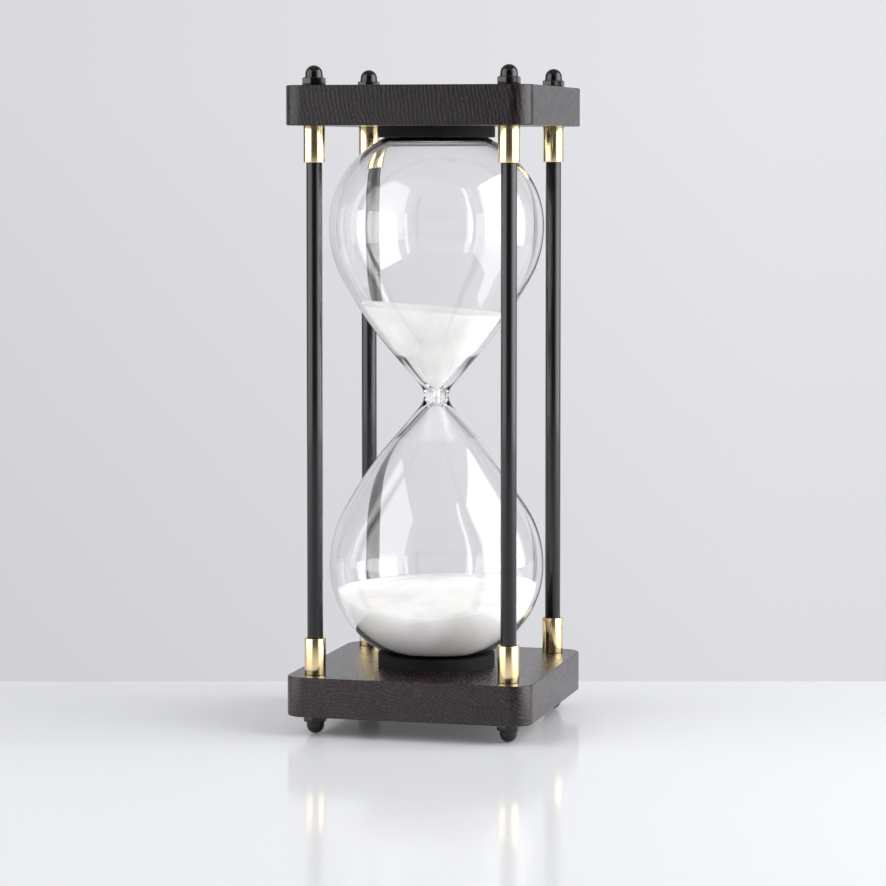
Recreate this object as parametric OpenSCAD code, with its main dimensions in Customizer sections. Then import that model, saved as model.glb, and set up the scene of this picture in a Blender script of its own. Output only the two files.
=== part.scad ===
// Hourglass: a one-piece double glass bulb held between two square wooden plates by four pillars.
// Each pillar is a tie rod inside a black tube, with a brass ferrule and a cap nut at either end.
// The origin is on the standing surface, under the middle of the base. +Z is up, -Y is the front.

/* [Plates] */
// Width of each square plate
plate_w = 120; // [114:1:140]
// Thickness of each plate
plate_t = 19; // [14:0.5:24]
// Radius of the plates' upright corners
plate_corner_r = 9.5; // [4:0.5:12]
// Clear height between the two plates
plate_gap = 262; // [262:1:268]

/* [Pillars] */
// Distance between pillar centres along each side
pillar_spacing = 95; // [92:0.5:98]
// Outer diameter of the black pillar tubes
tube_d = 7.6; // [7.2:0.1:8.4]
// Bore of the pillar tubes
tube_bore_d = 6.5; // [6.2:0.1:6.8]
// Outer diameter of the brass ferrules
ferrule_d = 10.3; // [9.8:0.1:13]
// Height of each ferrule
ferrule_h = 17.5; // [10:0.5:30]

/* [Fasteners] */
// Diameter of the tie rods
rod_d = 6; // [5:0.5:6]
// Overall height of a cap nut
nut_h = 9.5; // [9:0.5:12]
// Width of a cap nut's hexagon across its flats
nut_across_flats = 10; // [9.6:0.1:11]
// Height of a cap nut's hexagon
nut_hex_h = 3.7; // [3:0.1:4.5]
// Diameter of a cap nut's dome
nut_dome_d = 8.4; // [8:0.1:9.4]

/* [Glass] */
// Greatest outer radius of each bulb
belly_r = 52.2; // [50:0.1:52.5]
// Thickness of the bulb wall
glass_wall = 2.2; // [1.8:0.1:2.6]
// Outer radius of the neck
neck_r = 6.1; // [5:0.1:6.6]
// Radius of the channel that meters the sand
orifice_r = 1.1; // [1:0.1:1.5]
// Diameter of the fill hole in the lower end
fill_hole_d = 12; // [8:0.5:16]

/* [Seats] */
// Diameter of the black seat discs
seat_d = 57; // [54:0.5:64]
// Height of a seat disc that shows between plate and glass
seat_t = 5.5; // [4:0.5:6.5]
// Depth that a seat disc is let into its plate
seat_recess = 1.5; // [1:0.5:3]

/* [Sand] */
// Height of the upper sand's rim above the neck
upper_sand_rim = 43.5; // [20:0.5:60]
// Depth of the hollow that draining leaves in the upper sand
upper_sand_dip = 3; // [0:0.5:8]
// Height of the lower sand's rim above the lower end of the glass
lower_sand_rim = 32; // [20:0.5:60]
// Height of the low mound in the middle of the lower sand
lower_sand_mound = 3; // [0:0.5:8]

/* [Hidden] */
$fn = 96;

// The four pillars: name, side along X, side along Y
CORNERS = [
  ["front_left", -1, -1],
  ["front_right", 1, -1],
  ["back_left", -1, 1],
  ["back_right", 1, 1]
];
PILLAR_PIECES = ["tie_rod", "tube", "lower_ferrule", "upper_ferrule", "foot_nut", "finial_nut"];

// Heights of the stack, from the standing surface up
base_top_z = nut_h + plate_t;
top_plate_z = base_top_z + plate_gap;
overall_h = top_plate_z + plate_t + nut_h;
neck_z = overall_h / 2;
glass_half = plate_gap / 2 - seat_t;

// Fits and small breaks of edges
slip_fit = 0.05;
rod_hole_clearance = 0.3;
edge_break = 0.4;

// Tie rod ends inside the cap nuts
thread_grip = 5.5;
nut_hole_depth = 6;

// Bulb outline, as arcs that run into each other without a kink. Angles turn from straight
// out (0) towards the neck (negative) and towards the end (positive).
belly_u = glass_half * 0.66;
end_arc_r = 47;
belly_arc_r = 56;
flank_arc_r = 200;
belly_angle = 28;
flank_angle = 40.5;
funnel_arc_r = 30;
funnel_angle = 45;
channel_half = 1.5;
end_wall = 2.5;
stopper_h = 7;

end_centre = [belly_r - end_arc_r, belly_u];
belly_centre = [belly_r - belly_arc_r, belly_u];
flank_centre = belly_centre + (belly_arc_r - flank_arc_r) * direction(-belly_angle);

function direction(angle) = [cos(angle), sin(angle)];

// Points along an arc, without its first point
function arc(centre, r, from, to, steps) =
  [for (i = [1 : steps]) centre + r * direction(from + (to - from) * i / steps)];

// The same outline read from the lower end to the upper end
function both_halves(half) = concat(
  [for (i = [len(half) - 1 : -1 : 0]) [half[i][0], -half[i][1]]],
  half
);

// Radius of the round that joins a slope through p to a straight channel
function throat_r(p, channel_r, half, angle) =
  (p[1] - half - (p[0] - channel_r) / tan(angle)) / tan(angle / 2);

// The throat itself, from the channel up to the slope
function throat(channel_r, half, r, angle, steps) =
  arc([channel_r + r, half], r, 180, 180 - angle, steps);

// Belly and end of one bulb, set in by a wall, up to a flat end at height end_u
function belly_and_end(inset, end_u) = concat(
  [flank_centre + (flank_arc_r - inset) * direction(-flank_angle)],
  arc(flank_centre, flank_arc_r - inset, -flank_angle, -belly_angle, 6),
  arc(belly_centre, belly_arc_r - inset, -belly_angle, 0, 8),
  arc(end_centre, end_arc_r - inset, 0, asin((end_u - belly_u) / (end_arc_r - inset)), 14),
  [[0, end_u]]
);

// Outside of the glass
function outer_half() =
  let (body = belly_and_end(0, glass_half))
  let (r = throat_r(body[0], neck_r, 0, flank_angle))
  concat([[neck_r, 0]], throat(neck_r, 0, r, flank_angle, 6), body);

// Inside of the glass, or the space the sand may fill when inset is a little more than the wall
function inner_half(inset) =
  let (body = belly_and_end(inset, glass_half - end_wall - inset + glass_wall))
  let (channel_r = orifice_r - inset + glass_wall)
  let (funnel_centre = body[0] - funnel_arc_r * direction(-flank_angle))
  let (funnel_end = funnel_centre + funnel_arc_r * direction(-funnel_angle))
  let (r = throat_r(funnel_end, channel_r, channel_half, funnel_angle))
  concat(
    [[channel_r, channel_half]],
    throat(channel_r, channel_half, r, funnel_angle, 5),
    [funnel_end],
    arc(funnel_centre, funnel_arc_r, -funnel_angle, -flank_angle, 4),
    [for (i = [1 : len(body) - 1]) body[i]]
  );

module turned(points) translate([0, 0, neck_z]) rotate_extrude() polygon(points);

// A round bar or ring with its outer edges broken
module turned_ring(outer_d, inner_d, h) {
  rotate_extrude() polygon([
    [inner_d / 2, 0],
    [outer_d / 2 - edge_break, 0],
    [outer_d / 2, edge_break],
    [outer_d / 2, h - edge_break],
    [outer_d / 2 - edge_break, h],
    [inner_d / 2, h]
  ]);
}

module at_corner(c) translate([c[1], c[2], 0] * pillar_spacing / 2) children();

module stopper_space(clearance) {
  translate([0, 0, neck_z - glass_half - 1])
    cylinder(d = fill_hole_d + 2 * clearance, h = stopper_h + 1 + clearance);
}

// Square plate with round corners, four rod holes and a shallow seat recess in its upper face
module plate() {
  flat = plate_w - 2 * plate_corner_r;
  difference() {
    union() {
      translate([-flat / 2, -plate_w / 2, 0]) cube([flat, plate_w, plate_t]);
      translate([-plate_w / 2, -flat / 2, 0]) cube([plate_w, flat, plate_t]);
      for (c = CORNERS) {
        translate([c[1], c[2], 0] * flat / 2) cylinder(r = plate_corner_r, h = plate_t);
      }
    }
    for (c = CORNERS) {
      at_corner(c) translate([0, 0, -1]) cylinder(d = rod_d + 2 * rod_hole_clearance, h = plate_t + 2);
    }
    translate([0, 0, plate_t - seat_recess]) cylinder(d = seat_d + 2 * slip_fit, h = seat_recess + 1);
  }
}

module base_plate() color("#3b3237") translate([0, 0, nut_h]) plate();

module top_plate() {
  color("#3b3237") translate([0, 0, top_plate_z + plate_t]) rotate([180, 0, 0]) plate();
}

module glass_bulb() {
  color("#dfe6ea", 0.35) difference() {
    turned(both_halves(outer_half()));
    turned(both_halves(inner_half(glass_wall)));
    stopper_space(slip_fit);
  }
}

module fill_stopper() {
  color("#2a2a2a") translate([0, 0, neck_z - glass_half]) cylinder(d = fill_hole_d, h = stopper_h);
}

module seat() turned_ring(seat_d, 0, seat_t + seat_recess);

module lower_seat() color("#161617") translate([0, 0, base_top_z - seat_recess]) seat();

module upper_seat() color("#161617") translate([0, 0, top_plate_z - seat_t]) seat();

// Sand fills its bulb up to a level that dips or rises towards the middle
module sand(from_u, rim_u, middle_u) {
  intersection() {
    turned(both_halves(inner_half(glass_wall + slip_fit)));
    turned([[0, from_u], [belly_r, from_u], [belly_r, rim_u], [0, middle_u]]);
  }
}

module upper_sand() {
  color("#f2f1ee") sand(0, upper_sand_rim, upper_sand_rim - upper_sand_dip);
}

module lower_sand() {
  rim_u = lower_sand_rim - glass_half;
  color("#f2f1ee") difference() {
    sand(-glass_half, rim_u, rim_u + lower_sand_mound);
    stopper_space(slip_fit);
  }
}

module tie_rod() {
  color("#9a9c9f") translate([0, 0, nut_h - thread_grip])
    turned_ring(rod_d, 0, overall_h - 2 * (nut_h - thread_grip));
}

module tube() {
  color("#232228") translate([0, 0, base_top_z]) difference() {
    cylinder(d = tube_d, h = plate_gap);
    translate([0, 0, -1]) cylinder(d = tube_bore_d, h = plate_gap + 2);
  }
}

module ferrule() color("#c9a25a") turned_ring(ferrule_d, tube_d + 2 * slip_fit, ferrule_h);

module lower_ferrule() translate([0, 0, base_top_z]) ferrule();

module upper_ferrule() translate([0, 0, top_plate_z - ferrule_h]) ferrule();

// Cap nut that stands on its hexagon, with the blind hole for the rod from below
module cap_nut() {
  dome_r = nut_dome_d / 2;
  corner_r = nut_across_flats / 2 / cos(30);
  color("#1d1c20") difference() {
    union() {
      intersection() {
        cylinder(r = corner_r, h = nut_hex_h, $fn = 6);
        turned_ring(2 * corner_r, 0, nut_hex_h);
      }
      cylinder(r = dome_r, h = nut_h - dome_r);
      translate([0, 0, nut_h - dome_r]) sphere(r = dome_r);
    }
    translate([0, 0, -1]) cylinder(d = rod_d + 2 * slip_fit, h = nut_hole_depth + 1);
  }
}

module foot_nut() translate([0, 0, nut_h]) rotate([180, 0, 0]) cap_nut();

module finial_nut() translate([0, 0, overall_h - nut_h]) cap_nut();

base_plate();
top_plate();
glass_bulb();
fill_stopper();
lower_seat();
upper_seat();
lower_sand();
upper_sand();
for (c = CORNERS) {
  at_corner(c) tie_rod();
  at_corner(c) tube();
  at_corner(c) lower_ferrule();
  at_corner(c) upper_ferrule();
  at_corner(c) foot_nut();
  at_corner(c) finial_nut();
}
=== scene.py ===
# %% [markdown]
# # An hourglass with a wooden frame
# The real object is two square plates of dark stained wood, four slim black pillars with brass
# ferrules and black cap nuts, and one double bulb of clear glass with white sand in it.
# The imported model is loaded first, as a fixed frame. Every piece's place and its main sizes are
# read from it, so nothing has to be fitted by eye. Finer sizes, such as the glass's arcs, are
# given in millimetres where they are used.

import math

import bmesh
import bpy
from mathutils import Matrix, Vector, noise


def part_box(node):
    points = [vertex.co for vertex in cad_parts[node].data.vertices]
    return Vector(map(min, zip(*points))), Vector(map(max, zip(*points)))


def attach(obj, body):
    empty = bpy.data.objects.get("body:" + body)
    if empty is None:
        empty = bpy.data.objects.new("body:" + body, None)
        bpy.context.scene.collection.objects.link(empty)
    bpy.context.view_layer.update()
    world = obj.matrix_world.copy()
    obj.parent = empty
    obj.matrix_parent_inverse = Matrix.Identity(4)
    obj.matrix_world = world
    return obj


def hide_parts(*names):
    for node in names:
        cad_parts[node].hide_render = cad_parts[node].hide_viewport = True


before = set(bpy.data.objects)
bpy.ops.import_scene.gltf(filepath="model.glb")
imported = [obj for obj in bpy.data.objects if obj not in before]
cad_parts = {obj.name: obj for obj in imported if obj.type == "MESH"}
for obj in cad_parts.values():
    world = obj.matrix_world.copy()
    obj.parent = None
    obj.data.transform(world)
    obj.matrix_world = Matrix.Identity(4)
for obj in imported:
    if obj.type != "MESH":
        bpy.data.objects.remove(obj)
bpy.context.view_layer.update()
scene = bpy.context.scene
print("the frame holds", len(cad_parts), "nodes")

# %% [markdown]
# ## The camera
# The view comes before any piece, so that each one can be judged as soon as it is made. A long
# lens stands a little above and to the right of the front. A plain downward tilt would frame the
# object too, but it makes the pillars lean together. So the tilt is small, and the lens is shifted
# instead, as on a view camera.

# %% Camera
CAMERA_AZIMUTH = math.radians(14.565)
CAMERA_DOWN = math.radians(3.182)
CAMERA_DISTANCE = 1.5705
CAMERA_HEIGHT = 0.2786
CAMERA_ASIDE = 0.0032
SENSOR_MM = 36
LENS_MM = 131.4
LENS_SHIFT = -0.127

to_right = Vector((math.cos(CAMERA_AZIMUTH), math.sin(CAMERA_AZIMUTH), 0))
to_back = Vector((-math.sin(CAMERA_AZIMUTH), math.cos(CAMERA_AZIMUTH), 0))
UP = Vector((0, 0, 1))

camera = bpy.data.objects.new("camera", bpy.data.cameras.new("camera"))
scene.collection.objects.link(camera)
camera.location = to_right * CAMERA_ASIDE - to_back * CAMERA_DISTANCE + UP * CAMERA_HEIGHT
camera.rotation_euler = (math.pi / 2 - CAMERA_DOWN, 0, CAMERA_AZIMUTH)
camera.data.sensor_width = SENSOR_MM
camera.data.lens = LENS_MM
camera.data.shift_y = LENS_SHIFT
scene.camera = camera
print("camera at", tuple(round(v, 3) for v in camera.location))

# %% [markdown]
# ## The sizes that the pieces share
# Each piece is made a little finer than its plain CAD solid, but on the same measures. They could
# be typed in again, and would then drift apart from the solids. They are read from the loaded
# frame instead, once and by name.

# %% Measures
MM = 0.001
CORNERS = ("front_left", "front_right", "back_left", "back_right")


def size_of(node):
    low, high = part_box(node)
    return high - low


def middle_of(node):
    low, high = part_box(node)
    return (low + high) / 2


plate_size = size_of("base_plate")
glass_low_z, glass_top_z = (corner.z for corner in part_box("glass_bulb"))
neck_z = (glass_low_z + glass_top_z) / 2
glass_half = (glass_top_z - glass_low_z) / 2
belly_r = size_of("glass_bulb").x / 2
print(f"plates {plate_size.x / MM:.1f} mm wide, glass {2 * glass_half / MM:.1f} mm tall")

# %% [markdown]
# ## Tools for materials
# A finish could be painted on an image, or built from nodes, which stay sharp at any size and
# need no unwrapping. Nodes are used here. One small function adds a node with its settings and
# links, so each material below reads as a list of what it is made of. Colours are written as the
# hex values that a paint chart gives, and turned to linear light here.

# %% Material tools
def linear(hex_colour):
    parts = [int(hex_colour[i:i + 2], 16) / 255 for i in (1, 3, 5)]
    return [c / 12.92 if c <= 0.04045 else ((c + 0.055) / 1.055) ** 2.4 for c in parts] + [1]


def add(tree, kind, inputs=None, stops=(), **settings):
    """A node with its settings, its numbers or links by input, and any colour stops."""
    made = tree.nodes.new(kind)
    for name, value in settings.items():
        setattr(made, name, value)
    for name, value in (inputs or {}).items():
        if isinstance(value, bpy.types.NodeSocket):
            tree.links.new(value, made.inputs[name])
        else:
            made.inputs[name].default_value = value
    for number, (position, hex_colour) in enumerate(stops):
        elements = made.color_ramp.elements
        stop = elements[number] if number < len(elements) else elements.new(position)
        stop.position, stop.color = position, linear(hex_colour)
    return made


def new_material(name, **sockets):
    """A Principled surface with these numbers and colours set on its own sockets."""
    material = bpy.data.materials.new(name)
    material.use_nodes = True
    surface = material.node_tree.nodes["Principled BSDF"]
    for socket, value in sockets.items():
        surface.inputs[socket.replace("_", " ")].default_value = value
    return material, material.node_tree, surface


def pattern_scale(size_mm):
    """The scale that gives a noise texture features of about this size."""
    return 1 / (size_mm * MM)


print("a mid grey of #808080 is", round(linear("#808080")[0], 3), "in linear light")

# %% [markdown]
# ## Dark stained wood
# The plates are close-grained wood, sanded, stained nearly black with espresso stain and sprayed
# with a thin semi-gloss lacquer. A flat wood pattern could be wrapped round them, but it would
# show seams at the edges. Real boards are cut from a round trunk, so the grain is made the same
# way: rings about a far-off pith, in three dimensions, and each face shows its own cut through
# them. The lacquer follows the open grain, so it breaks up the reflections a little.

# %% Stained wood
SWAY_LENGTH_MM, SWAY_MM, BLOTCH_MM, PORE_MM = 25, 6, 8, 0.9
WOOD_GRAIN_DEPTH_MM = 0.1


def stained_wood(name, pith, grain_tilt, ring_mm, ring_strength, stain_depth, lacquer):
    material, tree, surface = new_material(
        name, Coat_Weight=lacquer, Coat_Roughness=0.2, Specular_IOR_Level=0.1)
    place = add(tree, "ShaderNodeTexCoord").outputs["Object"]
    in_log = add(tree, "ShaderNodeMapping", {
        "Vector": place, "Location": pith, "Rotation": grain_tilt}).outputs["Vector"]
    sway = add(tree, "ShaderNodeTexNoise", {
        "Vector": in_log, "Scale": pattern_scale(SWAY_LENGTH_MM), "Detail": 2.0})
    swayed = add(tree, "ShaderNodeVectorMath", {
        0: sway.outputs["Color"], 1: (SWAY_MM * MM,) * 3, 2: in_log}, operation="MULTIPLY_ADD")
    # A wave texture's rings repeat every pi / 10 units of its scale
    rings = add(tree, "ShaderNodeTexWave", {
        "Vector": swayed.outputs["Vector"], "Scale": math.pi / 10 / (ring_mm * MM),
        "Distortion": 3.5, "Detail": 3.0, "Detail Scale": 1.2, "Detail Roughness": 0.7},
        wave_type="RINGS", rings_direction="Y")
    # Pores are dashes along the grain, so the pattern is stretched that way
    along_grain = add(tree, "ShaderNodeMapping", {"Vector": in_log, "Scale": (1, 0.12, 1)})
    pores = add(tree, "ShaderNodeTexNoise", {
        "Vector": along_grain.outputs["Vector"], "Scale": pattern_scale(PORE_MM), "Detail": 4.0,
        "Roughness": 0.7})
    blotches = add(tree, "ShaderNodeTexNoise", {
        "Vector": along_grain.outputs["Vector"], "Scale": pattern_scale(BLOTCH_MM), "Detail": 3.0})
    open_pores = add(tree, "ShaderNodeMapRange", {
        "Value": pores.outputs["Fac"], "From Min": 0.34, "From Max": 0.66})
    veined = add(tree, "ShaderNodeMath", {
        0: rings.outputs["Fac"], 1: ring_strength, 2: open_pores.outputs["Result"]},
        operation="MULTIPLY_ADD")
    figure = add(tree, "ShaderNodeMath", {
        0: blotches.outputs["Fac"], 1: 0.4, 2: veined.outputs["Value"]}, operation="MULTIPLY_ADD")
    darkness = add(tree, "ShaderNodeMapRange", {
        "Value": figure.outputs["Value"], "From Min": 0.25, "From Max": stain_depth})
    stain = add(tree, "ShaderNodeValToRGB", {"Fac": darkness.outputs["Result"]},
                stops=[(0.1, "#050304"), (0.45, "#0D080B"), (0.9, "#3A2027")])
    sheen_spread = add(tree, "ShaderNodeMapRange", {
        "Value": open_pores.outputs["Result"], "To Min": 0.5, "To Max": 0.36})
    grain_depth = add(tree, "ShaderNodeBump", {
        "Height": veined.outputs["Value"], "Strength": 0.6,
        "Distance": WOOD_GRAIN_DEPTH_MM * MM})
    tree.links.new(stain.outputs["Color"], surface.inputs["Base Color"])
    tree.links.new(sheen_spread.outputs["Result"], surface.inputs["Roughness"])
    tree.links.new(grain_depth.outputs["Normal"], surface.inputs["Normal"])
    tree.links.new(grain_depth.outputs["Normal"], surface.inputs["Coat Normal"])
    return material


# Broad, faint rings at a slant under a full lacquer
base_wood = stained_wood("espresso_stained_wood_base", pith=(0.03, 0, 0.08),
                         grain_tilt=(-0.35, 0, 0), ring_mm=1.6, ring_strength=0.35,
                         stain_depth=1.5, lacquer=0.8)
# Darker, with upright rings across the front and less gloss
top_wood = stained_wood("espresso_stained_wood_top", pith=(0.24, 0, -0.25),
                        grain_tilt=(-0.5, 0, 0), ring_mm=2.0, ring_strength=0.55,
                        stain_depth=2.0, lacquer=0.6)
print("wood: two boards from different places in the log")

# %% [markdown]
# ## Brass, steel, enamel and rubber
# These finishes differ in colour and gloss, but each is one even material whose only life is a
# very fine relief and a slightly uneven gloss. A flat colour alone would look like plastic. One
# function lays the same kind of grain on each, at its own size and depth.

# %% Metals and rubber
def finish_with_noise(name, colour, size_mm, depth_mm, rough, stretch=(1, 1, 1), **sockets):
    """A finish whose grain moves both its relief and its roughness, between two limits."""
    material, tree, surface = new_material(name, Base_Color=linear(colour), **sockets)
    place = add(tree, "ShaderNodeTexCoord").outputs["Object"]
    along = add(tree, "ShaderNodeMapping", {"Vector": place, "Scale": stretch})
    grain = add(tree, "ShaderNodeTexNoise", {
        "Vector": along.outputs["Vector"], "Scale": pattern_scale(size_mm), "Detail": 3.0})
    relief = add(tree, "ShaderNodeBump", {
        "Height": grain.outputs["Fac"], "Strength": 0.5, "Distance": depth_mm * MM})
    gloss = add(tree, "ShaderNodeMapRange", {
        "Value": grain.outputs["Fac"], "To Min": rough[0], "To Max": rough[1]})
    tree.links.new(relief.outputs["Normal"], surface.inputs["Normal"])
    tree.links.new(gloss.outputs["Result"], surface.inputs["Roughness"])
    return material


# Brass turned on a lathe and polished: nearly a mirror, with faint marks round it
polished_brass = finish_with_noise(
    "polished_turned_brass", "#EDD7A6", 2.5, 0.004, (0.13, 0.22), (0.25, 0.25, 3), Metallic=1.0)
# Sprayed and baked enamel on steel tube: soft-edged stripes of light, a little rippled
satin_enamel = finish_with_noise(
    "satin_black_enamel", "#0A090C", 3.0, 0.006, (0.26, 0.36), Coat_Weight=0.65,
    Coat_Roughness=0.13, Specular_IOR_Level=0.2)
# Black nickel plated on the pressed nuts: small, sharp highlights
black_plating = finish_with_noise("gloss_black_plating", "#070708", 1.5, 0.003, (0.08, 0.16))
# Rubber pressed in a matt mould: it takes light in and shows no reflection
seat_rubber = finish_with_noise(
    "dull_moulded_rubber", "#0F0E10", 0.6, 0.03, (0.7, 0.9), Specular_IOR_Level=0.2)
# A bung of the same kind, greyer with the mould's powder
stopper_rubber = finish_with_noise("dark_bung_rubber", "#2B2A29", 0.5, 0.03, (0.65, 0.85))
# Steel rod, rolled and left bare: grey, with fine marks round it as on its thread
rod_steel = finish_with_noise(
    "rolled_plain_steel", "#9C9EA1", 0.9, 0.01, (0.25, 0.4), (0.2, 0.2, 4), Metallic=1.0)
print("finishes: brass, enamel, plating, two rubbers and steel")

# %% [markdown]
# ## Clear blown glass
# The bulb is soda-lime glass, blown by lamp: it bends light with an index of 1.5 and has no colour
# at this thickness. A thin shell with some transparency is quicker to draw, but can't bend what
# lies behind it. So the wall gets two real surfaces, and each reflection shows twice, as it does
# on a real bulb. Blowing leaves very shallow waves, which a broad, faint bump gives.

# %% Glass finish
GLASS_WAVE_MM, GLASS_WAVE_DEPTH_MM = 40, 0.4

blown_glass, tree, surface = new_material(
    "clear_blown_glass", Base_Color=linear("#FFFFFF"), Roughness=0.0, IOR=1.5,
    Transmission_Weight=1.0)
place = add(tree, "ShaderNodeTexCoord").outputs["Object"]
waves = add(tree, "ShaderNodeTexNoise", {
    "Vector": place, "Scale": pattern_scale(GLASS_WAVE_MM), "Detail": 1.0})
ripple = add(tree, "ShaderNodeBump", {
    "Height": waves.outputs["Fac"], "Strength": 0.3,
    "Distance": GLASS_WAVE_DEPTH_MM * MM})
tree.links.new(ripple.outputs["Normal"], surface.inputs["Normal"])
print("glass: waves of", GLASS_WAVE_MM, "mm")

# %% [markdown]
# ## White sand
# Washed and bleached quartz sand scatters light and has no gloss of its own. Light also travels
# a few grains deep, which softens its shadows, so it gets some subsurface scattering. Modelled
# grains would run to millions. They are about 0.2 mm, too fine to show at this distance, so a
# noise draws them about three times as coarse.

# %% Sand finish
SAND_GRAIN_MM, SAND_DRIFT_MM, SAND_GLOW_MM = 0.6, 14, 12

white_sand, tree, surface = new_material(
    "fine_white_sand", Roughness=1.0, Specular_IOR_Level=0.15, Subsurface_Weight=1.0,
    Subsurface_Radius=(1.0, 0.97, 0.93), Subsurface_Scale=SAND_GLOW_MM * MM)
place = add(tree, "ShaderNodeTexCoord").outputs["Object"]
grains = add(tree, "ShaderNodeTexNoise", {
    "Vector": place, "Scale": pattern_scale(SAND_GRAIN_MM), "Detail": 2.0, "Roughness": 0.7})
drift = add(tree, "ShaderNodeTexNoise", {
    "Vector": place, "Scale": pattern_scale(SAND_DRIFT_MM), "Detail": 2.0})
mixed = add(tree, "ShaderNodeMath", {
    0: grains.outputs["Fac"], 1: 0.6, 2: drift.outputs["Fac"]}, operation="MULTIPLY_ADD")
shade = add(tree, "ShaderNodeValToRGB", {"Fac": mixed.outputs["Value"]},
            stops=[(0.45, "#DBD9D5"), (0.75, "#E7E5E2"), (1.0, "#EFEEEC")])
relief = add(tree, "ShaderNodeBump", {
    "Height": grains.outputs["Fac"], "Strength": 0.5, "Distance": 0.15 * MM})
tree.links.new(shade.outputs["Color"], surface.inputs["Base Color"])
tree.links.new(relief.outputs["Normal"], surface.inputs["Normal"])
print("sand: grains drawn at", SAND_GRAIN_MM, "mm")

# %% [markdown]
# ## Tools for meshes
# Most pieces here are turned. A Screw modifier could spin them too, but a bmesh spin leaves plain
# faces that the next step can bevel. Every sharp edge is then rounded a little, because real
# edges always catch a line of light.

# %% Turning and softening
SHARP = math.radians(30)


def turned(outline, steps=64):
    """Spins an outline of radius and height about the upright axis."""
    bm = bmesh.new()
    verts = [bm.verts.new((r, 0, z)) for r, z in outline]
    edges = [bm.edges.new(pair) for pair in zip(verts, verts[1:])]
    bmesh.ops.spin(bm, geom=verts + edges, axis=UP, cent=(0, 0, 0), angle=math.tau,
                   steps=steps, use_merge=True)
    bmesh.ops.remove_doubles(bm, verts=bm.verts, dist=1e-6)
    bmesh.ops.recalc_face_normals(bm, faces=bm.faces)
    return bm


def soften(bm, width_mm, segments=3, wanted=lambda edge: True):
    """Rounds the sharp edges, or those of them that are wanted."""
    sharp = [e for e in bm.edges if e.is_manifold and e.calc_face_angle() > SHARP and wanted(e)]
    bmesh.ops.bevel(bm, geom=sharp, offset=width_mm * MM, segments=segments, profile=0.5,
                    affect="EDGES", material=-1, clamp_overlap=True)
    return bm


def to_mesh(name, bm):
    mesh = bpy.data.meshes.new(name)
    bm.to_mesh(mesh)
    bm.free()
    for face in mesh.polygons:
        face.use_smooth = True
    mesh.set_sharp_from_angle(angle=SHARP)
    return mesh


print("edges sharper than", round(math.degrees(SHARP)), "degrees are softened")

# %% [markdown]
# ## Finished pieces
# Each new piece rides on the one body, root, takes the place of the CAD solid that it stands for,
# and gets its new finish as its only material. Its place is in its mesh and its object stays at
# the origin, so that patterns stay still on it. The pillars repeat at four corners, so one
# function makes four moved copies of a mesh.

# %% Finished pieces
def make_piece(name, mesh, material, slot, *stands_for):
    piece = bpy.data.objects.new(name, mesh)
    scene.collection.objects.link(piece)
    mesh.materials.clear()
    mesh.materials.append(material)
    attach(piece, "root")
    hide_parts(*stands_for)
    return piece


def at_each_corner(kind, mesh, material, slot, turn=Matrix.Identity(4)):
    """Four copies of a piece, each moved to where its own CAD solid stands."""
    for corner in CORNERS:
        node = f"{kind}_{corner}"
        copy = mesh.copy()
        copy.transform(turn)
        copy.transform(Matrix.Translation((*middle_of(node).xy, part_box(node)[0].z)))
        make_piece(f"{node}_finished", copy, material, slot, node)
    print(f"{kind}: {len(CORNERS)} pieces of {len(mesh.polygons)} faces")


print("pieces ride on root and replace their CAD solids")

# %% [markdown]
# ## The pillars
# Each pillar is a thin tube with a ferrule pushed over each of its ends. Two cylinders, one cut
# from the other, would give the same ring, but a spun outline gives it cleanly in one step. The
# tube's cut ends stay almost sharp. A ferrule is the same shape, wider and shorter, and its rims
# are rounded more, as a lathe tool leaves them.

# %% Tubes and ferrules
TUBE_WALL = 0.55 * MM
FERRULE_FIT = 0.05 * MM


def ring(bore_r, outer_r, height, steps=64):
    return turned([(bore_r, 0), (outer_r, 0), (outer_r, height), (bore_r, height), (bore_r, 0)],
                  steps)


tube_r, tube_h = size_of("tube_front_left").x / 2, size_of("tube_front_left").z
tube = soften(ring(tube_r - TUBE_WALL, tube_r, tube_h), 0.12, 2)
at_each_corner("tube", to_mesh("tube", tube), satin_enamel, "black_tube")

ferrule_size = size_of("lower_ferrule_front_left")
ferrule = soften(ring(tube_r + FERRULE_FIT, ferrule_size.x / 2, ferrule_size.z, 96), 0.3)
ferrule_mesh = to_mesh("ferrule", ferrule)
at_each_corner("lower_ferrule", ferrule_mesh, polished_brass, "polished_brass")
at_each_corner("upper_ferrule", ferrule_mesh, polished_brass, "polished_brass")

# %% [markdown]
# ## The cap nuts
# A cap nut is a hexagon with its corners turned off at a slant, and a dome over the thread. It
# could be one mesh, but the step from six sides to a round dome makes awkward faces. So the
# hexagon starts as a six-sided cone with equal ends, the dome is spun from a quarter arc, and the
# two overlap inside, where that join is never seen.

# %% Cap nuts
NUT_HEX_H = 3.7 * MM
DOME_R = 4.2 * MM
DOME_FOOT_FLARE = 1.06
DOME_STEPS = 12
nut_size = size_of("finial_nut_front_left")


def hexagon():
    nut = bmesh.new()
    corner_r = nut_size.x / 2
    bmesh.ops.create_cone(nut, segments=6, radius1=corner_r, radius2=corner_r, depth=NUT_HEX_H,
                          cap_ends=True, matrix=Matrix.Translation((0, 0, NUT_HEX_H / 2)))
    return soften(nut, 0.35)


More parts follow.
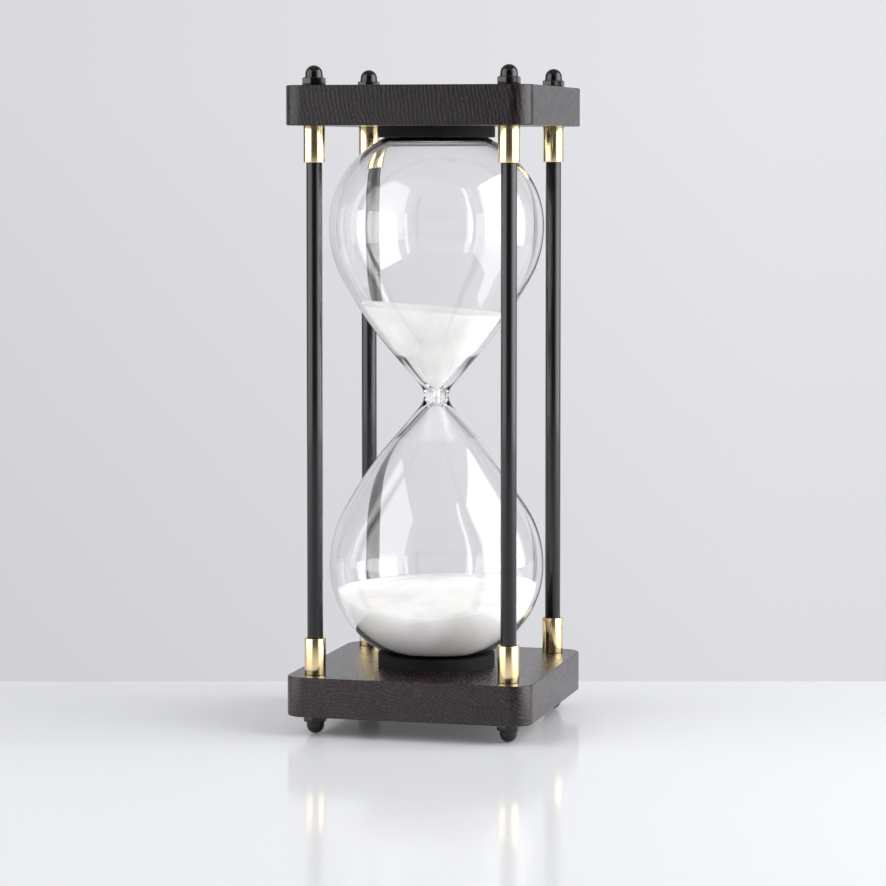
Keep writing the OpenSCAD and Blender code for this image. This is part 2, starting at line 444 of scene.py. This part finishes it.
def dome():
    """A flared foot that starts inside the hexagon, and a quarter round over it."""
    buried_z, foot_r = NUT_HEX_H * 0.9, DOME_R * DOME_FOOT_FLARE
    foot = [(0, buried_z), (foot_r, buried_z), (foot_r, NUT_HEX_H + 0.25 * MM),
            (DOME_R, NUT_HEX_H + 0.7 * MM)]
    turns = [math.pi / 2 * step / DOME_STEPS for step in range(DOME_STEPS)]
    middle_z = nut_size.z - DOME_R
    quarter = [(DOME_R * math.cos(a), middle_z + DOME_R * math.sin(a)) for a in turns]
    return turned(foot + quarter + [(0, nut_size.z)], 48)


def join_into(bm, extra):
    """Adds one bmesh's faces to another."""
    mesh = bpy.data.meshes.new("extra")
    extra.to_mesh(mesh)
    extra.free()
    bm.from_mesh(mesh)
    bpy.data.meshes.remove(mesh)
    return bm


nut_mesh = to_mesh("cap_nut", join_into(hexagon(), dome()))
at_each_corner("finial_nut", nut_mesh, black_plating, "black_nickel")
upside_down = Matrix.Translation((0, 0, nut_size.z)) @ Matrix.Rotation(math.pi, 4, "X")
at_each_corner("foot_nut", nut_mesh, black_plating, "black_nickel", upside_down)

# %% [markdown]
# ## Tools for cutting holes
# The plates have holes that don't line up with their faces' edges, and so has the sand. Insetting
# faces can't make a round hole in a square board cleanly, so a boolean takes a drum's space away.
# Its result is kept as a plain mesh, and the cutter is thrown away.

# %% Cutting tools
def drum(r, low_z, high_z, at=(0, 0), segments=64):
    """A closed drum to cut with."""
    bm = bmesh.new()
    bmesh.ops.create_cone(bm, segments=segments, radius1=r, radius2=r, depth=high_z - low_z,
                          cap_ends=True, matrix=Matrix.Translation((*at, (low_z + high_z) / 2)))
    return bm


def cut_away(mesh, cutter_bm, name):
    """A copy of the mesh with the cutter's space taken out of it."""
    cutter_mesh = bpy.data.meshes.new("cutter")
    cutter_bm.to_mesh(cutter_mesh)
    cutter_bm.free()
    cutter = bpy.data.objects.new("cutter", cutter_mesh)
    blank = bpy.data.objects.new("blank", mesh)
    for obj in (cutter, blank):
        scene.collection.objects.link(obj)
    cut = blank.modifiers.new("cut", "BOOLEAN")
    cut.operation, cut.solver, cut.object = "DIFFERENCE", "EXACT", cutter
    bpy.context.view_layer.update()
    done = bpy.data.meshes.new_from_object(
        blank.evaluated_get(bpy.context.evaluated_depsgraph_get()))
    done.name = name
    for obj in (cutter, blank):
        bpy.data.objects.remove(obj)
    return done


print("cutting: drums and a boolean")

# %% [markdown]
# ## The plates
# Each plate is a board with rounded upright corners and just-broken edges. Its outline could be
# drawn and extruded, but bevelling a cube's four upright edges wide, and its rims a little, gives
# the same and keeps the faces even. The rod holes and the seat's recess are cut last, so that
# they don't disturb the rounding. The flats stay truly flat, or their gloss would look warped.

# %% Plates
CORNER_R_MM = 9.5
BROKEN_EDGE_MM = 0.6
SEAT_FIT = 0.05 * MM
ROD_HOLE_GAP = 0.3 * MM
CUT_PAST = 1 * MM
seat_r = size_of("lower_seat").x / 2
rod_r = size_of("tie_rod_front_left").x / 2


def is_upright(edge):
    one, other = edge.verts
    return (one.co - other.co).xy.length < 1e-6


def board(node):
    """The plate before its holes."""
    bm = bmesh.new()
    bmesh.ops.create_cube(bm, size=1)
    bmesh.ops.scale(bm, verts=bm.verts, vec=size_of(node))
    bmesh.ops.translate(bm, verts=bm.verts, vec=middle_of(node))
    upright = [edge for edge in bm.edges if is_upright(edge)]
    bmesh.ops.bevel(bm, geom=upright, offset=CORNER_R_MM * MM, segments=16, profile=0.5,
                    affect="EDGES", material=-1)
    return soften(bm, BROKEN_EDGE_MM, 4, lambda edge: not is_upright(edge))


def keep_flats_flat(mesh):
    """Shades curved faces smooth, and leaves the level and upright flats flat."""
    for face in mesh.polygons:
        face.use_smooth = max(abs(part) for part in face.normal) < 0.9999


def make_plate(node, seat_node, material):
    low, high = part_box(node)
    seat_low, seat_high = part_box(seat_node)
    cutter = drum(seat_r + SEAT_FIT, seat_low.z, seat_high.z, segments=96)
    for corner in CORNERS:
        join_into(cutter, drum(rod_r + ROD_HOLE_GAP, low.z - CUT_PAST, high.z + CUT_PAST,
                               at=middle_of(f"tie_rod_{corner}").xy))
    blank = bpy.data.meshes.new("blank")
    whole = board(node)
    whole.to_mesh(blank)
    whole.free()
    mesh = cut_away(blank, cutter, node)
    keep_flats_flat(mesh)
    make_piece(f"{node}_finished", mesh, material, "dark_stained_wood", node)
    print(f"{node}: {len(mesh.polygons)} faces")


make_plate("base_plate", "lower_seat", base_wood)
make_plate("top_plate", "upper_seat", top_wood)

# %% [markdown]
# ## The seat discs
# A black rubber disc lies between each plate and the glass, so that the glass doesn't grate on
# wood. A plain drum would do, but moulded rubber never has a knife edge, so its rims are rounded.

# %% Seat discs
for node in ("lower_seat", "upper_seat"):
    low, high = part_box(node)
    disc = soften(turned([(0, low.z), (seat_r, low.z), (seat_r, high.z), (0, high.z)], 96), 0.5, 4)
    make_piece(f"{node}_finished", to_mesh(node, disc), seat_rubber, "black_seat_rubber", node)
print(f"seats: 2 discs, {2 * seat_r / MM:.0f} mm wide")

# %% [markdown]
# ## The bulb's outline
# The bulb's side is a chain of arcs that run into each other without a kink: a round end, a full
# belly, a long flank and a tight throat. A spline through a few points is quicker to draw, but
# wavers, and glass shows that at once. Heights are measured from the neck, and one set of arcs
# serves the outside, the inside and later the sand, each at its own inset.

# %% Bulb outline
GLASS_WALL = 2.2 * MM
END_WALL = 2.5 * MM
END_ARC_R, BELLY_ARC_R, FLANK_ARC_R, FUNNEL_ARC_R = (r * MM for r in (47, 56, 200, 30))
BELLY_ANGLE, FLANK_ANGLE, FUNNEL_ANGLE = (math.radians(a) for a in (28, 40.5, 45))
NECK_R = 6.1 * MM
ORIFICE_R = 1.1 * MM
CHANNEL_HALF = 1.5 * MM
STOPPER_FIT = 0.05 * MM
BELLY_SHARE = 0.66
fill_hole_r = size_of("fill_stopper").x / 2 + STOPPER_FIT
belly_u = BELLY_SHARE * glass_half


def heading(angle):
    return Vector((math.cos(angle), math.sin(angle)))


def arc(centre, r, start, end, steps):
    return [centre + r * heading(start + (end - start) * i / steps) for i in range(1, steps + 1)]


belly_centre = Vector((belly_r - BELLY_ARC_R, belly_u))
end_centre = Vector((belly_r - END_ARC_R, belly_u))
flank_centre = belly_centre + (BELLY_ARC_R - FLANK_ARC_R) * heading(-BELLY_ANGLE)


def belly_and_end(inset, end_u):
    """The side from the flank's low end to the bulb's flat end."""
    end_angle = math.asin((end_u - belly_u) / (END_ARC_R - inset))
    return (
        [flank_centre + (FLANK_ARC_R - inset) * heading(-FLANK_ANGLE)]
        + arc(flank_centre, FLANK_ARC_R - inset, -FLANK_ANGLE, -BELLY_ANGLE, 14)
        + arc(belly_centre, BELLY_ARC_R - inset, -BELLY_ANGLE, 0, 14)
        + arc(end_centre, END_ARC_R - inset, 0, end_angle, 30))


def throat(below, channel_r, half, angle):
    """The round that joins a slope through a point to the narrow channel, from the channel up."""
    r = (below.y - half - (below.x - channel_r) / math.tan(angle)) / math.tan(angle / 2)
    centre = Vector((channel_r + r, half))
    return [Vector((channel_r, half))] + arc(centre, r, math.pi, math.pi - angle, 10)


def outside_half():
    body = belly_and_end(0, glass_half)
    return throat(body[0], NECK_R, 0, FLANK_ANGLE) + body


def inside_half(inset, end_wall):
    """The inner face, with a round funnel between its flank and its throat."""
    body = belly_and_end(inset, glass_half - end_wall)
    centre = body[0] - FUNNEL_ARC_R * heading(-FLANK_ANGLE)
    funnel_end = centre + FUNNEL_ARC_R * heading(-FUNNEL_ANGLE)
    channel_r = ORIFICE_R + GLASS_WALL - inset
    return (
        throat(funnel_end, channel_r, CHANNEL_HALF, FUNNEL_ANGLE) + [funnel_end]
        + arc(centre, FUNNEL_ARC_R, -FUNNEL_ANGLE, -FLANK_ANGLE, 4) + body[1:])


def below_neck(half):
    """The same side upside down, for the lower bulb."""
    return [Vector((p.x, -p.y)) for p in reversed(half)]


print("outline:", len(outside_half()), "points on the outside of each bulb")

# %% [markdown]
# ## The glass
# The wall's thickness could come from a Solidify modifier, but the throat's wall is far thicker
# than the rest. So the outside and the inside are both drawn, joined over the ends and round the
# filling hole, and spun as one closed section. The ends were pressed flat while soft, so their
# corners are bevelled round, outside and inside.

# %% Glass body
END_CORNER_MM = 1.4

outside, inside = outside_half(), inside_half(GLASS_WALL, END_WALL)
wall_section = (
    [Vector((fill_hole_r, -glass_half))] + below_neck(outside) + outside[1:]
    + [Vector((0, glass_half)), Vector((0, glass_half - END_WALL))]
    + list(reversed(inside)) + [Vector((p.x, -p.y)) for p in inside]
    + [Vector((fill_hole_r, END_WALL - glass_half)), Vector((fill_hole_r, -glass_half))])
glass = turned([(p.x, neck_z + p.y) for p in wall_section], 144)
soften(glass, END_CORNER_MM, 5, lambda edge: edge.verts[0].co.xy.length > 2 * fill_hole_r)
glass_mesh = to_mesh("glass_bulb", glass)
make_piece("glass_bulb_finished", glass_mesh, blown_glass, "clear_glass", "glass_bulb")
print(f"glass: {len(glass_mesh.polygons)} faces")

# %% [markdown]
# ## Where the sand meets the glass
# Sand has no shape of its own: it lies against the inner wall. A boolean with the bulb's inside
# would cut it to fit, but leaves ragged triangles at the rim. So the wall's radius is worked out
# for any height instead, a hair inside the glass.

# %% Sand against the glass
SAND_FIT = 0.05 * MM
sand_wall = inside_half(GLASS_WALL + SAND_FIT, END_WALL + SAND_FIT)


def wall_r(u):
    """The radius that sand reaches at a height above or below the neck."""
    u = abs(u)
    for low, high in zip(sand_wall, sand_wall[1:]):
        if u <= high.y:
            part = max(0, u - low.y) / max(high.y - low.y, 1e-9)
            return low.x + (high.x - low.x) * part
    return sand_wall[-1].x


print(f"sand touches the glass out to {max(p.x for p in sand_wall) / MM:.1f} mm")

# %% [markdown]
# ## The sand
# Above the neck the sand has a shallow dip where it runs out, and below it a low mound. Both tops
# lean a little, as the glass was last turned by hand, and the lower one has slumped at the front.
# A closed unit drum is spun first: its side stands for the sand's side and its lid for the top.
# Then each vertex moves out to the wall at its own height, which keeps the rim on the glass
# however the top leans.

# %% Sand
LEVEL_NOISE, NOISE_SIZE = 0.35 * MM, 9 * MM
UPPER_DIP, UPPER_TILT = 3 * MM, 4.8
LOWER_RIM_RISE, LOWER_MOUND, LOWER_TILT, FRONT_SLUMP = 32 * MM, 3 * MM, 1.6, 9 * MM
DRUM_RINGS = 28


def make_sand(bottom_u, rim_u, middle_rise, tilt, lean, slump):
    """The top slopes down by tilt towards lean, and its front slumps further."""
    parts = [ring_number / DRUM_RINGS for ring_number in range(DRUM_RINGS + 1)]
    side = [(1, part) for part in parts]
    lid = [(1 - part, 1) for part in parts[1:]]
    bm = turned([(0, 0)] + side + lid, 96)
    slope = math.tan(math.radians(tilt))
    for vert in bm.verts:
        out = vert.co.xy.length
        heading_out = vert.co.xy.normalized() if out > 1e-6 else Vector((0, 0))
        rim_here = (rim_u - wall_r(rim_u) * slope * heading_out.dot(lean)
                    - slump * max(0, -heading_out.dot(to_back.xy)) ** 2)
        if vert.co.z < 1 - 1e-6 or out > 1 - 1e-6:
            u = bottom_u + (rim_here - bottom_u) * vert.co.z
            r = wall_r(u) * out
        else:
            r = wall_r(rim_here) * out
            swell = math.cos(out * math.pi / 2) ** 2
            u = rim_u + (rim_here - rim_u) * out ** 1.2 + middle_rise * swell
            spot = Vector((heading_out.x * r, heading_out.y * r, rim_u)) / NOISE_SIZE
            u += LEVEL_NOISE * noise.noise(spot) * min(1, 8 * (1 - out))
        vert.co = Vector((heading_out.x * r, heading_out.y * r, neck_z + u))
    return bm


upper_rim_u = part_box("upper_sand")[1].z - neck_z
upper = make_sand(0, upper_rim_u, -UPPER_DIP, UPPER_TILT, to_right.xy, 0)
upper_mesh = to_mesh("upper_sand", upper)
make_piece("upper_sand_finished", upper_mesh, white_sand, "white_sand", "upper_sand")

lower = make_sand(END_WALL + SAND_FIT - glass_half, LOWER_RIM_RISE - glass_half, LOWER_MOUND,
                  LOWER_TILT, -to_right.xy, FRONT_SLUMP)
stopper_low, stopper_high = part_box("fill_stopper")
stopper_space = drum(fill_hole_r, stopper_low.z - CUT_PAST, stopper_high.z + SAND_FIT)
lower_mesh = cut_away(to_mesh("lower_blank", lower), stopper_space, "lower_sand")
make_piece("lower_sand_finished", lower_mesh, white_sand, "white_sand", "lower_sand")
print("sand:", len(upper_mesh.polygons), "and", len(lower_mesh.polygons), "faces")

# %% [markdown]
# ## The hidden pieces
# The tie rods inside the tubes pull the two plates together, and the stopper closes the filling
# hole under the sand. New meshes would add nothing to shapes that never show, so both keep their
# CAD solids, which are exact already, and only take their own finishes.

# %% Hidden pieces
def refinish(node, material):
    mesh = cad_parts[node].data
    mesh.materials.clear()
    mesh.materials.append(material)


for corner in CORNERS:
    refinish(f"tie_rod_{corner}", rod_steel)
refinish("fill_stopper", stopper_rubber)
print("hidden: 4 rods and a stopper refinished")

# %% [markdown]
# ## The table
# The hourglass stands on a glossy white laminate table top that ends a hand's width behind it,
# against a far pale grey wall. A floor that curves up into the wall would hide that edge, but the
# edge gives the picture its horizon. The wall is the world's own colour, so nothing blocks a view
# from behind. The laminate is pressed against polished steel, so it mirrors at a low angle.

# %% Table
TABLE_BACK = 0.118
TABLE_WIDE, TABLE_DEEP, TABLE_THICK = 3.2, 2.2, 0.03
table = bmesh.new()
bmesh.ops.create_cube(table, size=1)
bmesh.ops.scale(table, verts=table.verts, vec=(TABLE_WIDE, TABLE_DEEP, TABLE_THICK))
bmesh.ops.translate(table, verts=table.verts,
                    vec=(0, TABLE_BACK - TABLE_DEEP / 2, -TABLE_THICK / 2))
bmesh.ops.rotate(table, verts=table.verts, cent=(0, 0, 0),
                 matrix=Matrix.Rotation(CAMERA_AZIMUTH, 3, "Z"))
soften(table, 1.0)
table_mesh = to_mesh("table", table)
for face in table_mesh.polygons:
    face.use_smooth = False
table_top = bpy.data.objects.new("table", table_mesh)
scene.collection.objects.link(table_top)
laminate, tree, surface = new_material(
    "white_gloss_laminate", Base_Color=linear("#E5E6E8"), Roughness=0.12, IOR=1.2)
table_mesh.materials.append(laminate)
print(f"table: {TABLE_WIDE} m wide, its back edge {TABLE_BACK / MM:.0f} mm behind the middle")

# %% [markdown]
# ## The wall's colour
# A plain grey world would do for even light, but a studio wall is never even: it is a little
# brighter on one side and near the table, and the ceiling above is darker. The world's shade
# follows the direction of a ray: how far it points to the right, and how high.

# %% World
world = bpy.data.worlds.new("studio")
scene.world = world
world.use_nodes = True
tree = world.node_tree
direction = add(tree, "ShaderNodeTexCoord").outputs["Generated"]
rightward = add(tree, "ShaderNodeVectorMath", {0: direction, 1: tuple(to_right)},
                operation="DOT_PRODUCT")
height = add(tree, "ShaderNodeSeparateXYZ", {"Vector": direction})
side_shade = add(tree, "ShaderNodeMapRange", {
    "Value": rightward.outputs["Value"], "From Min": -0.14, "From Max": 0.1,
    "To Min": 0.7, "To Max": 0.81})
low_shade = add(tree, "ShaderNodeMapRange", {
    "Value": height.outputs["Z"], "From Min": -0.17, "From Max": 0.02,
    "To Min": 0.9, "To Max": 1.0})
ceiling_shade = add(tree, "ShaderNodeMapRange", {
    "Value": height.outputs["Z"], "From Min": 0.12, "From Max": 0.5,
    "To Min": 1.0, "To Max": 0.5})
level_shade = add(tree, "ShaderNodeMath", {
    0: low_shade.outputs["Result"], 1: ceiling_shade.outputs["Result"]}, operation="MULTIPLY")
wall_shade = add(tree, "ShaderNodeMath", {
    0: side_shade.outputs["Result"], 1: level_shade.outputs["Value"]}, operation="MULTIPLY")
cool_tint = add(tree, "ShaderNodeVectorMath", {
    0: (0.985, 0.99, 1.03), "Scale": wall_shade.outputs["Value"]}, operation="SCALE")
tree.links.new(cool_tint.outputs["Vector"], tree.nodes["Background"].inputs["Color"])
print("world: a pale grey wall, darker overhead")

# %% [markdown]
# ## Placing the studio's panels
# A glossy object shows its surroundings more than its own colour, so the light is built for its
# reflections. What counts for them is the angle from which a panel is seen, not its distance.
# So each panel is given by the two angles that it reaches between, from the camera's side round.

# %% Panels by angle
PANEL_FOOT = 0.01


def from_camera_side(angle_degrees, distance, height_m):
    """A place around the object: 0 is towards the camera and 90 to its right."""
    angle = math.radians(angle_degrees)
    return (to_right * math.sin(angle) - to_back * math.cos(angle)) * distance + UP * height_m


def panel_between(start_degrees, end_degrees, distance, tall):
    """The width of a flat panel that spans this angle, and its place, facing the object."""
    wide = 2 * distance * math.tan(math.radians(end_degrees - start_degrees) / 2)
    height_m = tall / 2 + PANEL_FOOT
    place = from_camera_side((start_degrees + end_degrees) / 2, distance, height_m)
    facing = Vector((0, 0, height_m)) - place
    turn = facing.to_track_quat("-Z", "Y").to_matrix().to_4x4()
    return wide, Matrix.Translation(place) @ turn


print("panels stand", PANEL_FOOT / MM, "mm above the table")

# %% [markdown]
# ## Soft boxes
# Two tall soft boxes stand left and right of the camera. They light the sand from both sides, and
# draw the bright stripes on the pillars and the white windows in the glass. A narrow strip beside
# the right one adds the thin line in the upper bulb. One big overhead light would be simpler, but
# leaves the upright glass and pillars without any edge.

# %% Soft boxes
BOX_DISTANCE, BOX_TALL = 0.95, 1.3


def soft_box(name, start_degrees, end_degrees, radiance):
    wide, place = panel_between(start_degrees, end_degrees, BOX_DISTANCE, BOX_TALL)
    light = bpy.data.lights.new(name, "AREA")
    light.shape = "RECTANGLE"
    light.size, light.size_y = wide, BOX_TALL
    # Power for this brightness: a bigger panel needs more to look as bright
    light.energy = radiance * math.pi * wide * BOX_TALL
    box = bpy.data.objects.new(name, light)
    scene.collection.objects.link(box)
    box.matrix_world = place
    box.visible_camera = False
    print(f"{name}: {wide:.2f} m wide, {light.energy:.0f} W")


soft_box("left_soft_box", -102, -35, 2.2)
soft_box("right_soft_box", 48, 108, 4.3)
soft_box("right_strip", 34.5, 38.5, 3.2)

# %% [markdown]
# ## Dark cards
# Black gloss looks black only where it mirrors something dark. A card on the camera's own side
# gives the dark stripe down each pillar's middle, and one past each soft box darkens the pillars'
# edges. Real cards would have to stand clear of the view. Here only reflections see them, so they
# neither hide anything nor take light from the table, the wood or the sand.

# %% Dark cards
CARD_DISTANCE, CARD_TALL = 1.25, 1.25
flock, tree, surface = new_material("dark_flock", Base_Color=linear("#3A3A3E"), Roughness=1.0)


def dark_card(name, start_degrees, end_degrees):
    wide, place = panel_between(start_degrees, end_degrees, CARD_DISTANCE, CARD_TALL)
    card = bmesh.new()
    bmesh.ops.create_grid(card, x_segments=1, y_segments=1, size=0.5)
    bmesh.ops.scale(card, verts=card.verts, vec=(wide, CARD_TALL, 1))
    card.transform(place)
    mesh = to_mesh(name, card)
    mesh.materials.append(flock)
    obj = bpy.data.objects.new(name, mesh)
    scene.collection.objects.link(obj)
    for ray in ("camera", "diffuse", "transmission", "shadow", "volume_scatter"):
        setattr(obj, f"visible_{ray}", False)
    print(f"{name}: {wide:.2f} m wide")


dark_card("front_card", -27, 33)
dark_card("left_card", -134, -108)
dark_card("right_card", 112, 130)

# %% [markdown]
# ## Tone and filtering
# A film-like tone curve would grey the white sand and the white table, so the plain Standard view
# is used. By default Cycles also blurs light that has passed through glass, to hide noise. That
# starves the sand behind the glass of light, so the blur is off.

# %% Tone
scene.view_settings.view_transform = "Standard"
scene.cycles.blur_glossy = 0.0
print("view transform:", scene.view_settings.view_transform)
